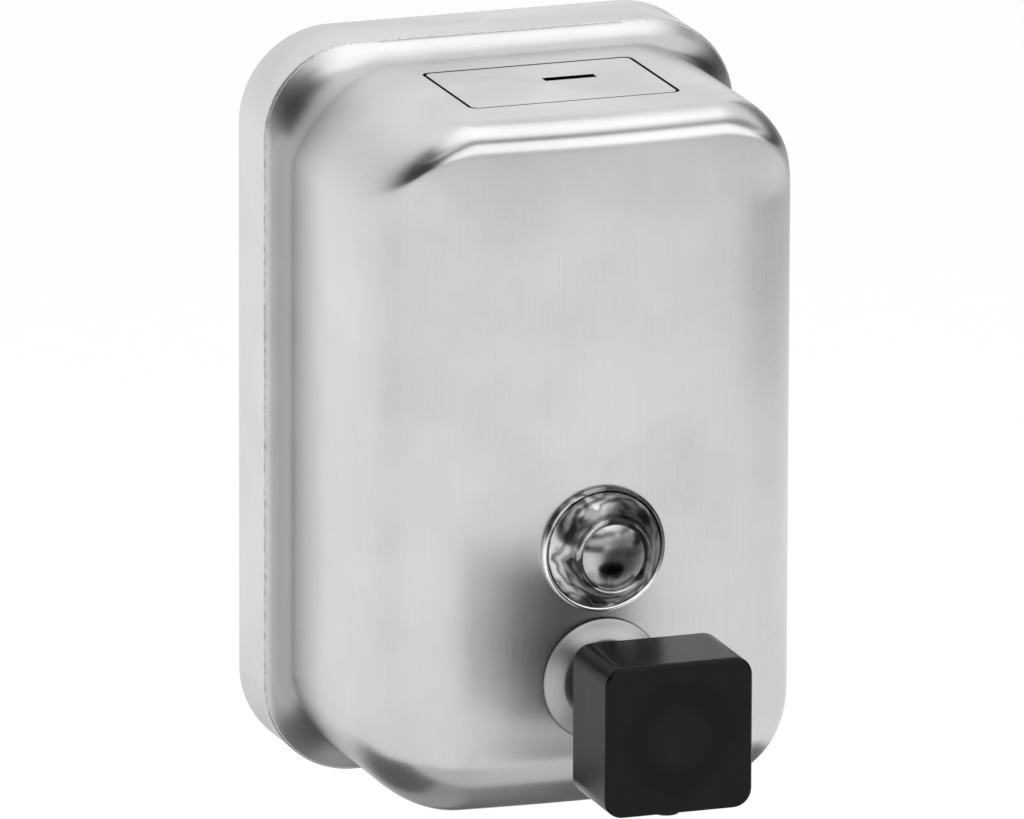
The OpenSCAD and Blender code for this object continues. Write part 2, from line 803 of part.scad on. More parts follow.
module stem_wiper() {
    color("dimgray") turned(pump_y)
        translate([stem_d / 2 + run_fit + wiper_d / 2, wiper_z]) circle(d = wiper_d);
}

module valve_end_cap() {
    bore = cylinder_r + seat_fit;
    inlet_rear = cylinder_rear - cap_floor - inlet_room;
    room_r = spigot_r - spigot_wall;
    color("whitesmoke") front_view() translate([0, pump_y, 0]) difference() {
        union() {
            rotate_extrude() {
                span([0, cylinder_rear - cap_floor], [bore + cap_wall, cylinder_rear]);
                span([bore, cylinder_rear], [bore + cap_wall, cylinder_rear + cap_skirt]);
                span([cage_r, cylinder_rear], [cage_r + cage_wall, retainer_z]);
                span([0, inlet_rear - cap_wall], [spigot_r + inlet_wall, cylinder_rear - cap_floor]);
            }
            translate([0, 0, spigot_z]) rotate([90, 0, 0]) cylinder(r = spigot_r, h = pump_y - spigot_end);
        }
        translate([0, 0, inlet_rear]) cylinder(d = inlet_d, h = inlet_room + cap_floor + past);
        translate([0, 0, spigot_z]) rotate([90, 0, 0])
            cylinder(r = room_r, h = pump_y - spigot_end + past);
        for (turn = [0, 90]) {
            rotate(turn) block(
                [-cage_r - cage_wall - past, -cage_slot / 2, cylinder_rear + cage_foot],
                [cage_r + cage_wall + past, cage_slot / 2, retainer_z + past]
            );
        }
    }
}

module ball_retainer() {
    color("whitesmoke") turned(pump_y) span(
        [ball_d / 2 - retainer_lap, retainer_z],
        [cage_r + cage_wall, retainer_z + retainer_t]
    );
}

module check_ball() {
    color("silver") front_view() translate([0, pump_y, ball_seat_z]) sphere(d = ball_d);
}

module dip_tube() {
    low_y = body_floor + dip_floor_room;
    high_y = pump_y - cylinder_r - seat_fit - cap_wall - air;
    color("whitesmoke") front_view() translate([0, low_y, spigot_z]) rotate([-90, 0, 0]) difference() {
        cylinder(d = dip_d, h = high_y - low_y);
        translate([0, 0, -past]) cylinder(r = dip_d / 2 - dip_wall, h = high_y - low_y + 2 * past);
        rotate([0, dip_slant, 0]) translate([0, 0, -dip_d / 2])
            cube([3 * dip_d, 2 * dip_d, dip_d], center = true);
    }
}

module return_spring() {
    low = cylinder_rear + run_fit;
    high = piston_rear - run_fit;
    color("silver") front_view() translate([0, pump_y, low])
        coil(spring_d, spring_wire, high - low, spring_turns);
}

module plunger_stem() {
    color("silver") turned(pump_y) difference() {
        union() {
            span([0, piston_front], [stem_d / 2, stem_end]);
            span([0, piston_rear - piston_boss_l], [tail_d / 2, piston_front]);
        }
        span([0, piston_rear - piston_boss_l - past], [stem_bore / 2, stem_end + past]);
    }
}

module piston() {
    head_r = cylinder_bore / 2 - piston_air;
    boss_r = (spring_d - spring_wire) / 2 * cos(180 / spring_rings) - spring_wire / 2 - air;
    color("whitesmoke") turned(pump_y) difference() {
        union() {
            span([0, piston_rear], [head_r, piston_front]);
            span([0, piston_rear - piston_boss_l], [boss_r, piston_rear]);
        }
        span([0, piston_rear - piston_boss_l - past], [tail_d / 2 + seat_fit, piston_front + past]);
        piston_groove(0);
    }
}

// Groove of the piston's seal, and with a fit taken off, the seal itself.
module piston_groove(fit) {
    mid = (piston_front + piston_rear) / 2;
    span(
        [cylinder_bore / 2 - seal_w + fit, mid - seal_w / 2 + fit],
        [cylinder_bore / 2 - run_fit, mid + seal_w / 2 - fit]
    );
}

module piston_seal() {
    color("dimgray") turned(pump_y) piston_groove(seat_fit);
}

module push_button() {
    dish_r = (pow(dish_d / 2, 2) + pow(dish_depth, 2)) / (2 * dish_depth);
    face_in = button_front - dish_depth - button_wall;
    half = button_w / 2;
    color([0.08, 0.08, 0.08]) front_view() translate([0, pump_y, 0]) difference() {
        union() {
            difference() {
                button_block();
                translate([0, 0, button_back - past]) linear_extrude(face_in - button_back + past)
                    rounded_rect(
                        button_w - 2 * button_wall, button_w - 2 * button_wall, button_corner - button_wall
                    );
                translate([0, 0, button_front + dish_r - dish_depth]) sphere(r = dish_r, $fn = 200);
            }
            translate([0, 0, button_back]) cylinder(d = boss_d, h = face_in - button_back + past / 2);
            translate([0, 0, nozzle_z]) rotate([90, 0, 0])
                cylinder(d = nozzle_d + 2 * nozzle_wall, h = half - button_wall / 2);
            for (turn = [0, 90, 180]) {
                rotate(turn) block(
                    [boss_d / 2 - past / 2, -button_wall / 3, button_back + rib_set],
                    [half - button_wall / 2, button_wall / 3, face_in + past / 2]
                );
            }
        }
        translate([0, 0, button_back - past]) cylinder(r = stem_d / 2 + seat_fit, h = stem_seat + past);
        translate([0, 0, button_back]) cylinder(d = stem_bore, h = nozzle_z - button_back + stem_bore / 2);
        translate([0, 0, nozzle_z]) rotate([90, 0, 0]) cylinder(d = stem_bore, h = -duct_top + past);
        translate([0, duct_top, nozzle_z]) rotate([90, 0, 0])
            cylinder(r = nozzle_d / 2 + seat_fit, h = duct_top + half + past);
    }
}

// Outside of the button: a square block with round corners and a small radius along its front edge.
module button_block() {
    inner = button_corner - button_edge;
    sweep_round(button_w, button_w, button_corner) {
        span([0, button_back], [button_corner, button_front - button_edge]);
        span([0, button_back], [inner, button_front]);
        translate([inner, button_front - button_edge]) circle(button_edge);
    }
    block(
        [-button_w / 2 + button_corner, -button_w / 2 + button_corner, button_back],
        [button_w / 2 - button_corner, button_w / 2 - button_corner, button_front]
    );
}

// Turned piece on the nozzle's axis: the section is radius by height above the nozzle's mouth.
module on_nozzle() {
    mouth_y = pump_y - button_w / 2 - nozzle_drop;
    front_view() translate([0, mouth_y, nozzle_z]) rotate([-90, 0, 0]) rotate_extrude() children();
}

module spout_nozzle() {
    bore_r = nozzle_d / 2 - nozzle_wall;
    color([0.1, 0.1, 0.1]) on_nozzle() polygon([
        [bore_r, 0],
        [nozzle_d / 2 - nozzle_chamfer, 0],
        [nozzle_d / 2, nozzle_chamfer],
        [nozzle_d / 2, nozzle_drop + nozzle_hold],
        [bore_r, nozzle_drop + nozzle_hold]
    ]);
}

module duckbill_valve() {
    seat = nozzle_drop + nozzle_hold;
    bill_r = nozzle_d / 2 - nozzle_wall - 2 * seat_fit;
    color("dimgray") on_nozzle() polygon([
        [0, seat - bill_l],
        [bill_tip, seat - bill_l],
        [bill_r, seat - bill_l + bill_taper],
        [bill_r, seat],
        [nozzle_d / 2 - seat_fit, seat],
        [nozzle_d / 2 - seat_fit, seat + bill_flange],
        [bill_r - bill_wall, seat + bill_flange],
        [bill_r - bill_wall, seat - bill_l + bill_taper],
        [0, seat - bill_l + bill_wall]
    ]);
}

echo(return_spring_gap = coil_gap(
    spring_d, spring_wire, piston_rear - cylinder_rear - 2 * run_fit, spring_turns));
echo(latch_spring_gap = coil_gap(latch_spring_d, latch_wire, latch_spring_l, latch_turns));

front_shell();
rim_band();
back_plate();
hanger_clips();
wall_bracket();
lock_screw();
filler_frame();
hinge_pin();
lid_plate();
latch_guide();
latch_bolt();
latch_spring();
sight_bezel();
sight_lens();
lens_oring();
sight_gasket();
sight_nut();
valve_body();
valve_gasket();
valve_escutcheon();
stem_wiper();
valve_end_cap();
ball_retainer();
check_ball();
dip_tube();
return_spring();
plunger_stem();
piston();
piston_seal();
push_button();
spout_nozzle();
duckbill_valve();
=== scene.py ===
import json
import math

import bmesh
import bpy
from mathutils import Matrix, Vector


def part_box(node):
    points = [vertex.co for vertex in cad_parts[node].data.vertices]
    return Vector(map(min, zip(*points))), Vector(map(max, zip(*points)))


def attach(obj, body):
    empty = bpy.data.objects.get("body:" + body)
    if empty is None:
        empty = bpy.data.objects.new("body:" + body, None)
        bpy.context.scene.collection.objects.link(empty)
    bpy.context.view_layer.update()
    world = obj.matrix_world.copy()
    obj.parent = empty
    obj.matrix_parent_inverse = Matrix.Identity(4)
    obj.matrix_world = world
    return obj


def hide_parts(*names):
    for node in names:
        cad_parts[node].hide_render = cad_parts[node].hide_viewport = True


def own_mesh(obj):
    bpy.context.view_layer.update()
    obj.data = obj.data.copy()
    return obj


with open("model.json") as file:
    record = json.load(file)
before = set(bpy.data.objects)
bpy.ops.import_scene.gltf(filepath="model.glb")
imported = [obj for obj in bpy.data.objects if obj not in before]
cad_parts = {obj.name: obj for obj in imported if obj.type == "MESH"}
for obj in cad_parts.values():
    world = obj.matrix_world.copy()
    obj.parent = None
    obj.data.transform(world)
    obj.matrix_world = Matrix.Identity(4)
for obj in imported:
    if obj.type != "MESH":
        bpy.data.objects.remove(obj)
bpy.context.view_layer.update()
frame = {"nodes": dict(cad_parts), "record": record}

MM = 0.001
# Pieces are drawn as seen from the front: x to the right, y up and z out of the wall.
FRONT_VIEW = Matrix.Rotation(math.radians(90), 4, "X")
MERGE = 0.002 * MM

# Sizes of the body, from the frame where it holds them
shell_low, shell_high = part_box("front_shell")
rim_half = Vector((shell_high.x, shell_high.z))
rim_corner = 21 * MM
body_inset = 4 * MM
body_half = Vector((rim_half.x - body_inset, rim_half.y - body_inset))
body_corner = 23 * MM
front = -shell_low.y
flange_back = -shell_high.y
sheet = 1 * MM
cut_reach = 3 * sheet
lip_t = 0.55 * MM
lip_front = flange_back + lip_t
outer_cove_turn = math.radians(53)
inner_cove_turn = math.radians(43)
top_edge_r = 7 * MM
bottom_edge_r = 18.5 * MM
upright_edge_r = 22.8 * MM
# How far the tight top edge holds round a corner and narrows there, and how the wide upright edges bend
crease_hold = 4.7
crease_narrowing = 0.3
side_bend = 3
side_sweep = 1.55
face_crown = 2.3 * MM
flange_edge_r = 0.4 * MM
hem_w = 6 * MM
hem_bend = 1.6 * MM
seam_edge_r = 0.12 * MM
hem_edge_r = 0.12 * MM
screw_low, screw_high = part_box("lock_screw")
lock_hole_r = 2.3 * MM

# Lid
lid_low, lid_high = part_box("lid_plate")
lid_middle = (lid_low + lid_high) / 2
lid_half = (lid_high - lid_low) / 2
lid_gap = 0.55 * MM
lid_corner = 1.5 * MM
lid_t = 0.8 * MM
lid_trim = 0.2 * MM
lid_edge_r = 0.3 * MM
opening_edge_r = 0.25 * MM
hinge_drop = 3.2 * MM
hinge_inset = 6 * MM
hinge_hole_r = 1.25 * MM
ear_t = 1.2 * MM
slot_size = Vector((12 * MM, 3 * MM))
slot_corner = 0.3 * MM
slot_from_middle = Vector((5.4 * MM, 3.2 * MM))

# Gauge, pump and button
bezel_low, bezel_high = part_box("sight_bezel")
lens_low, lens_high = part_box("sight_lens")
lens_r = (lens_high.x - lens_low.x) / 2
disc_low, disc_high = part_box("valve_escutcheon")
neck_r = 8.5 * MM
shank_r = 9 * MM
hole_room = 0.3 * MM
fit = 0.04 * MM
button_low, button_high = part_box("push_button")
nozzle_low, nozzle_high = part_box("spout_nozzle")
stem_low, stem_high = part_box("plunger_stem")


def middle(low, high):
    """Middle of a node's box in the front view."""
    point = (low + high) / 2
    return Vector((point.x, point.z, -point.y))


sight_axis = middle(bezel_low, bezel_high).y
pump_axis = middle(disc_low, disc_high).y


# Shader maths

class Shade:
    """A socket of a node tree. Operators add Math nodes, and node() adds any other node."""

    def __init__(self, tree, socket=None):
        self.tree = tree
        self.socket = socket

    def node(self, kind, settings=None, values=None, output=0):
        made = self.tree.nodes.new("ShaderNode" + kind)
        for name, value in (settings or {}).items():
            setattr(made, name, value)
        for name, value in (values or {}).items():
            if isinstance(value, Shade):
                self.tree.links.new(value.socket, made.inputs[name])
            else:
                made.inputs[name].default_value = value
        return Shade(self.tree, made.outputs[output] if made.outputs else None)

    def maths(self, operation, *terms):
        return self.node("Math", {"operation": operation}, dict(enumerate(terms)))

    def __add__(self, other):
        return self.maths("ADD", self, other)

    __radd__ = __add__

    def __sub__(self, other):
        return self.maths("SUBTRACT", self, other)

    def __rsub__(self, other):
        return self.maths("SUBTRACT", other, self)

    def __mul__(self, other):
        return self.maths("MULTIPLY", self, other)

    __rmul__ = __mul__

    def __truediv__(self, other):
        return self.maths("DIVIDE", self, other)

    def __abs__(self):
        return self.maths("ABSOLUTE", self)

    def step(self, low, high):
        """Smooth step from 0 at low to 1 at high."""
        return self.node(
            "MapRange", {"interpolation_type": "SMOOTHSTEP"},
            {"Value": self, "From Min": low, "From Max": high},
        )

    def axis(self, name):
        return self.node("SeparateXYZ", {}, {"Vector": self}, name)

    def noise(self, scale, detail=2.0, roughness=0.5):
        """Noise on coordinates that are stretched by three scales, in cells per metre."""
        stretched = self.node("Mapping", {}, {"Vector": self, "Scale": scale})
        return self.node(
            "TexNoise", {}, {"Vector": stretched, "Scale": 1.0, "Detail": detail, "Roughness": roughness}
        )

    def line_noise(self, scale, detail):
        """Noise along a line, by this value."""
        return self.node(
            "TexNoise", {"noise_dimensions": "1D"}, {"W": self, "Scale": scale, "Detail": detail}
        )

    def tint(self, dark, light):
        """Colour between two, by this value."""
        return self.over((*dark, 1), light)

    def over(self, colour, other):
        """Colour that this value turns into another one."""
        # A Mix node's colours are its inputs 6 and 7 and its output 2.
        return self.node("Mix", {"data_type": "RGBA"}, {"Factor": self, 6: colour, 7: (*other, 1)}, 2)

    def bump(self, distance, strength=1.0):
        return self.node("Bump", {}, {"Height": self, "Distance": distance, "Strength": strength})


def bare(owner):
    """Start of an empty node tree of a material or a world."""
    owner.use_nodes = True
    owner.node_tree.nodes.clear()
    return Shade(owner.node_tree)


def object_place(material):
    """Place on a piece, as the start of an empty material."""
    return bare(material).node("TexCoord", {}, {}, "Object")


def finish(name, build, **sockets):
    """Material whose build function gives the sockets that vary; the others hold over the whole surface."""
    material = bpy.data.materials.new(name)
    place = object_place(material)
    surface = place.node("BsdfPrincipled", {}, {**sockets, **build(place)})
    place.node("OutputMaterial", {}, {"Surface": surface})
    return material


def grey(level):
    return (level, level, level)


def uneven(place, size):
    """Slow, faint unevenness of a hand-polished surface, from 0 to 1."""
    return place.noise((1 / size,) * 3, 3.0, 0.55)


def brushed_grain(place, run):
    """Fine brush marks along one axis, from 0 to 1."""
    wide, long = 0.3 * MM, 28 * MM
    scale = [1 / wide] * 3
    scale["xyz".index(run)] = 1 / long
    return place.noise(scale, 4.0, 0.65)


def from_axis(place, axis_z):
    """Distance from an axis that points out of the wall."""
    across = place.axis("X")
    up = place.axis("Z") - axis_z
    return place.maths("SQRT", across * across + up * up)


def lid_cut_painted_shade(place, upward):
    """1 on the cut edges of the lid and its opening, where shade is painted in, by how far a face looks up or
    down.
    """
    below = (lid_high.z - place.axis("Z")).step(0.05 * MM, 0.2 * MM)
    past_side = abs(place.axis("X") - lid_middle.x) - lid_half.x
    past_end = abs(place.axis("Y") - lid_middle.y) - lid_half.y
    off_lid = place.maths("MAXIMUM", past_side, past_end).step(1 * MM, 2 * MM)
    return (1 - upward.step(0.3, 0.7)) * below * (1 - off_lid)


def satin_steel():
    """Drawn sheet, brushed upright on its sides and crosswise on its top, with a ground seam at the rim."""

    def build(place):
        facing = place.node("TexCoord", {}, {}, "Normal")
        upward = abs(facing.axis("Z"))
        sideways = abs(facing.axis("X")).step(0.3, 0.9)
        on_top = upward.step(0.55, 0.85)
        grain = brushed_grain(place, "z") * (1 - on_top) + brushed_grain(place, "x") * on_top
        cloud = uneven(place, 28 * MM).step(0.3, 0.7)
        ahead = 0 - place.axis("Y") - flange_back
        near_seam = 1 - abs(ahead).step(0.15 * MM, 0.8 * MM)
        mottle = place.noise((1 / (0.8 * MM), 1 / (0.8 * MM), 1 / (2 * MM)), 4.0, 0.7).step(0.36, 0.7)
        ground = near_seam * mottle * (1 - 0.6 * on_top)
        # Painted shade: the sideways faces darken from the rim forward, fading out between 6 and 34 mm ahead
        # of it.
        painted_rim_shade = sideways * ahead.step(0, 1.5 * MM) * (1 - ahead.step(6 * MM, 34 * MM))
        level = 0.5 * grain + 0.5 * cloud
        # Painted shade: the cut edges of the lid and its opening turn near black.
        colour = lid_cut_painted_shade(place, upward).over(level.tint(grey(0.55), grey(0.7)), grey(0.02))
        return {
            "Base Color": (ground * 0.8 + painted_rim_shade * 0.62).over(colour, grey(0.2)),
            "Roughness": 0.23 + 0.09 * grain + 0.04 * cloud + 0.1 * ground,
            "Normal": (grain * 0.6 - ground * 0.3).bump(0.02 * MM, 0.35),
        }

    return finish("satin_steel", build, **{"Metallic": 1.0, "Anisotropic": 0.7})


def mill_steel():
    """Plain rolled sheet of the pieces behind and inside."""

    def build(place):
        grain = brushed_grain(place, "z")
        cloud = uneven(place, 22 * MM)
        return {
            "Base Color": (0.5 * grain + 0.5 * cloud).tint(grey(0.44), grey(0.6)),
            "Roughness": 0.34 + 0.14 * cloud,
            "Normal": grain.bump(0.02 * MM, 0.25),
        }

    return finish("mill_steel", build, Metallic=1.0)


def turned_steel():
    """Lathe marks round the pump's axis, with painted shade in the crevice where the disc meets the panel."""

    def build(place):
        radius = from_axis(place, pump_axis)
        rings = radius.line_noise(1 / (0.35 * MM), 3.0)
        cloud = uneven(place, 9 * MM)
        # Painted shade: the back of the disc, within 0.85 mm of the panel, turns near black and rougher.
        crevice_painted_shade = 1 - (0 - place.axis("Y") - front).step(0.6 * MM, 0.85 * MM)
        colour = (0.6 * rings + 0.4 * cloud).tint(grey(0.3), grey(0.5))
        return {
            "Base Color": (0.97 * crevice_painted_shade).over(colour, grey(0.02)),
            "Roughness": 0.26 + 0.12 * rings + 0.3 * crevice_painted_shade,
            "Normal": rings.bump(0.03 * MM, 0.4),
        }

    return finish("turned_steel", build, Metallic=1.0)


def drawn_wire():
    """Bright spring wire and the check ball."""

    def build(place):
        cloud = uneven(place, 3 * MM)
        return {"Base Color": cloud.tint(grey(0.5), grey(0.62)), "Roughness": 0.2 + 0.12 * cloud}

    return finish("drawn_wire", build, Metallic=1.0)


def bright_chrome():
    """Polished plating with faint wipe marks, and painted reflections in its colour."""

    def build(place):
        wipe = place.noise((900, 900, 250), 4.0, 0.6)
        across = place.axis("X")
        up = place.axis("Z") - sight_axis
        radius = from_axis(place, sight_axis)
        bend = place.noise((130, 130, 130), 2.0, 0.5)
        # Painted reflections: dark and light swirls round the lens.
        painted_reflection_swirl = (radius * 420 + bend * 5).line_noise(1.0, 1.0)
        # Painted shade: the swirls darken towards the upper right.
        painted_side_shade = (across * 0.9 + up * 0.4).step(-2 * MM, 9 * MM)
        painted_reflections = (0.65 * painted_reflection_swirl + 0.35 * bend).step(0.34, 0.66) * (1 - 0.75 * painted_side_shade)
        # Painted highlight: the lower part of the outer lip is near white.
        lip = radius.step(13 * MM, 13.3 * MM) * (1 - (up + across * 0.4).step(-6 * MM, 3 * MM))
        return {
            "Base Color": lip.over(painted_reflections.tint(grey(0.04), grey(0.66)), grey(0.95)),
            "Roughness": 0.15 + 0.08 * wipe,
            "Normal": wipe.bump(0.01 * MM, 0.08),
        }

    return finish("bright_chrome", build, Metallic=1.0)


def clear_lens():
    """Clear moulded dome, smoky and half mirrored, with faint wipe marks and a painted reflection."""

    def build(place):
        wipe = place.noise((500, 500, 1400), 4.0, 0.6)
        radius = from_axis(place, sight_axis)
        # Painted reflection: dark in the middle, lighter towards the rim and most on the left.
        lens_painted_reflection = (radius - place.axis("X") * 0.5).step(2 * MM, 6.5 * MM)
        return {
            "Base Color": (lens_painted_reflection * 0.9 + wipe * 0.1).tint(grey(0.12), grey(0.75)),
            "Roughness": 0.14 + 0.1 * wipe,
            "Metallic": 0.06 + 0.6 * radius.step(2 * MM, 6 * MM),
        }

    return finish("clear_lens", build, **{"Transmission Weight": 1.0, "IOR": 1.49})


def black_plastic():
    """Moulded black plastic with a fine spark-eroded grain, handling marks, a thumb-worn middle and painted
    light on its dish.
    """

    def build(place):
        grain = place.noise((1 / (0.22 * MM),) * 3, 3.0, 0.6)
        smear = place.noise((140, 140, 60), 4.0, 0.6).step(0.42, 0.72)
        radius = from_axis(place, pump_axis)
        # Wear roughens the middle, and a painted highlight lightens its colour.
        wear_and_painted_highlight = 1 - radius.step(3 * MM, 9 * MM)
        # Painted shade: a darker ring round the middle of the dish.
        ring = radius.step(5 * MM, 10 * MM) - radius.step(10 * MM, 15 * MM)
        tone = 0.4 * grain + 0.3 * smear + 0.3 * wear_and_painted_highlight - 0.3 * ring
        return {
            "Base Color": tone.tint(grey(0.002), grey(0.013)),
            "Roughness": 0.2 + 0.08 * grain - 0.05 * smear + 0.1 * wear_and_painted_highlight,
            "Normal": grain.bump(0.03 * MM, 0.25),
        }

    return finish("black_plastic", build, **{"Specular IOR Level": 0.15})


def pump_plastic():
    """Natural white moulding of the pump, with painted shade on its nose where it comes through the panel."""

    def build(place):
        # Painted shade: the nose, from just behind the panel's front outwards, turns near black.
        ahead = (0 - place.axis("Y") - front).step(-1 * MM, 0.5 * MM)
        cloud = uneven(place, 6 * MM)
        grain = place.noise((1 / (0.3 * MM),) * 3, 2.0)
        return {
            "Base Color": ahead.over(cloud.tint((0.7, 0.69, 0.65), (0.8, 0.79, 0.76)), grey(0.06)),
            "Roughness": 0.4 + 0.1 * grain,
            "Normal": grain.bump(0.02 * MM, 0.2),
        }

    return finish("pump_plastic", build, **{"Subsurface Weight": 0.15, "Subsurface Scale": 1 * MM})


def seal_rubber():
    """Matt black rubber with a trace of bloom."""

    def build(place):
        bloom = place.noise((700,) * 3, 4.0, 0.6)
        return {
            "Base Color": bloom.tint(grey(0.014), grey(0.035)),
            "Roughness": 0.62 + 0.15 * bloom,
            "Normal": bloom.bump(0.03 * MM, 0.2),
        }

    return finish("seal_rubber", build)


finishes = {
    "satin_steel": satin_steel(),
    "plain_steel": mill_steel(),
    "turned_steel": turned_steel(),
    "spring_steel": drawn_wire(),
    "bright_chrome": bright_chrome(),
    "clear_lens": clear_lens(),
    "black_plastic": black_plastic(),
    "pump_plastic": pump_plastic(),
    "seal_rubber": seal_rubber(),
}
behaviour = frame["record"]["behaviour"]
slot_of = {sub["node"]: sub["material_slot"] for sub in frame["record"]["subparts"]}
body_of = {node: body for body, held in behaviour["bodies"].items() for node in held}
joint_of = {joint["name"]: joint for joint in behaviour["joints"]}


# Modelling

def new_object(bm, name):
    mesh = bpy.data.meshes.new(name)
    bm.to_mesh(mesh)
    bm.free()
    made = bpy.data.objects.new(name, mesh)
    bpy.context.scene.collection.objects.link(made)
    return made


def front_object(bm, name):
    """Object from a mesh that was drawn in the front view."""
    bmesh.ops.transform(bm, matrix=FRONT_VIEW, verts=bm.verts)
    return new_object(bm, name)


def settle(obj):
    """Takes what the modifiers make as the object's own mesh."""
    depsgraph = bpy.context.evaluated_depsgraph_get()
    mesh = bpy.data.meshes.new_from_object(obj.evaluated_get(depsgraph), depsgraph=depsgraph)
    obj.modifiers.clear()
    old = obj.data
    obj.data = mesh
    bpy.data.meshes.remove(old)
    return obj


def combine(obj, operation, *others):
    """Joins other solids to an object or cuts them from it, and removes them."""
    for other in others:
        change = obj.modifiers.new("combine", "BOOLEAN")
        change.operation = operation
        change.solver = "EXACT"
        change.object = other
        settle(obj)
        bpy.data.meshes.remove(other.data)
    return obj


def soften(obj, width, sharp_angle=60):
    """Rounds the edges of an object that are sharper than an angle in degrees."""
    change = obj.modifiers.new("edges", "BEVEL")
    change.width = width
    change.segments = 2
    change.limit_method = "ANGLE"
    change.angle_limit = math.radians(sharp_angle)
    change.use_clamp_overlap = True
    return settle(obj)


def dress(obj, node, smooth_angle=32):
    """Finishes a piece that stands for a CAD node: smooth faces, its finish and its body."""
    obj.data.shade_smooth()
    obj.data.set_sharp_from_angle(angle=math.radians(smooth_angle))
    even = obj.modifiers.new("even_faces", "WEIGHTED_NORMAL")
    even.keep_sharp = True
    settle(obj)
    obj.name = "dressed_" + node
    obj.data.materials.clear()
    obj.data.materials.append(finishes[slot_of[node]])
    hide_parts(node)
    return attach(obj, body_of[node])


def arc(centre, radius, start, end, steps):
    """Points of an arc in a section, from one angle in degrees to another."""
    turns = [math.radians(start + (end - start) * k / steps) for k in range(steps + 1)]
    return [(centre[0] + radius * math.cos(a), centre[1] + radius * math.sin(a)) for a in turns]


def spin_section(bm, section, closed, steps):
    """Spins a section, given as radius by height, once round the Z axis and merges its seam."""
    verts = [bm.verts.new((r, 0, z)) for r, z in section]
    pairs = list(zip(verts, verts[1:]))
    if closed:
        pairs.append((verts[-1], verts[0]))
    edges = [bm.edges.new(pair) for pair in pairs]
    bmesh.ops.spin(
        bm, geom=verts + edges, axis=(0, 0, 1), cent=(0, 0, 0), angle=math.tau, steps=steps, use_merge=True
    )
    bmesh.ops.remove_doubles(bm, verts=bm.verts, dist=MERGE)


def turned(name, section, axis_y, closed=True):
    """Piece turned round an axis out of the wall, from radius and distance from the wall."""
    bm = bmesh.new()
    spin_section(bm, section, closed, steps=128)
    bmesh.ops.recalc_face_normals(bm, faces=bm.faces)
    bmesh.ops.translate(bm, verts=bm.verts, vec=(0, axis_y, 0))
    return front_object(bm, name)


def rounded_face(bm, half, corner, steps=12):
    """Rectangle with round corners, in the plane of the wall."""
    bmesh.ops.create_grid(bm, x_segments=1, y_segments=1, size=1)
    bmesh.ops.scale(bm, verts=bm.verts, vec=(half.x, half.y, 1))
    bmesh.ops.bevel(
        bm, geom=bm.verts[:], offset=corner, offset_type="OFFSET", segments=steps, profile=0.5,
        affect="VERTICES", material=-1,
    )


def on_outline(place, half, corner, out):
    """Nearest place at a distance outside a rounded rectangle."""
    centre = Vector([max(corner - side, min(side - corner, value)) for value, side in zip(place, half)])
    return centre + (place - centre).normalized() * (corner + out)


def set_off(vert, half, corner, point):
    """Moves a point of a rounded rectangle to (distance outside the outline, distance from the wall).

    The distance from the wall may be a function of the place in the plane of the wall.
    """
    out, z = point
    place = on_outline(vert.co.xy, half, corner, out)
    vert.co = (*place, z(*place) if callable(z) else z)


def draw_out(bm, edges, move):
    """Draws a loop of edges out by one row of faces, whose new points are moved, and gives the new loop."""
    made = bmesh.ops.extrude_edge_only(bm, edges=edges)["geom"]
    edges = [item for item in made if isinstance(item, bmesh.types.BMEdge) and item.is_boundary]
    for vert in {vert for edge in edges for vert in edge.verts}:
        move(vert)
    return edges


def sweep(bm, edges, half, corner, section):
    """Draws a loop of edges out along a section and gives the loop at its end."""
    for point in section:
        edges = draw_out(bm, edges, lambda vert: set_off(vert, half, corner, point))
    return edges


def rounded_loop(bm, half, corner, point, steps=12, cuts=0):
    """Open loop of edges along a rounded rectangle, with points along its straight runs."""
    rounded_face(bm, half, corner, steps)
    bmesh.ops.delete(bm, geom=bm.faces[:], context="FACES_ONLY")
    runs = [edge for edge in bm.edges if edge.calc_length() > corner]
    if cuts:
        bmesh.ops.subdivide_edges(bm, edges=runs, cuts=cuts)
    for vert in bm.verts:
        set_off(vert, half, corner, point)
    return bm.edges[:]


def thicken(bm, depth):
    """Makes a flat face a block, from its plane up to a depth."""
    made = bmesh.ops.extrude_face_region(bm, geom=bm.faces[:], use_keep_orig=True)["geom"]
    raised = [item for item in made if isinstance(item, bmesh.types.BMVert)]
    bmesh.ops.translate(bm, verts=raised, vec=(0, 0, depth))
    bmesh.ops.recalc_face_normals(bm, faces=bm.faces)


def slab(name, half, corner, low, high, at):
    """Level block with round corners between two heights."""
    bm = bmesh.new()
    rounded_face(bm, half, corner)
    bmesh.ops.translate(bm, verts=bm.verts, vec=(at.x, at.y, low))
    thicken(bm, high - low)
    return new_object(bm, name)


def rod(name, radius, start, end):
    """Round rod between two points of the front view."""
    bm = bmesh.new()
    run = end - start
    turn = run.to_track_quat("Z", "Y").to_matrix().to_4x4()
    bmesh.ops.create_cone(
        bm, cap_ends=True, segments=64, radius1=radius, radius2=radius, depth=run.length,
        matrix=FRONT_VIEW @ Matrix.Translation((start + end) / 2) @ turn,
    )
    return new_object(bm, name)


def brick(name, low, high):
    """Block between two corners of the front view."""
    bm = bmesh.new()
    bmesh.ops.create_cube(bm, size=1)
    bmesh.ops.scale(bm, verts=bm.verts, vec=high - low)
    bmesh.ops.translate(bm, verts=bm.verts, vec=(low + high) / 2)
    return front_object(bm, name)


# Steel body

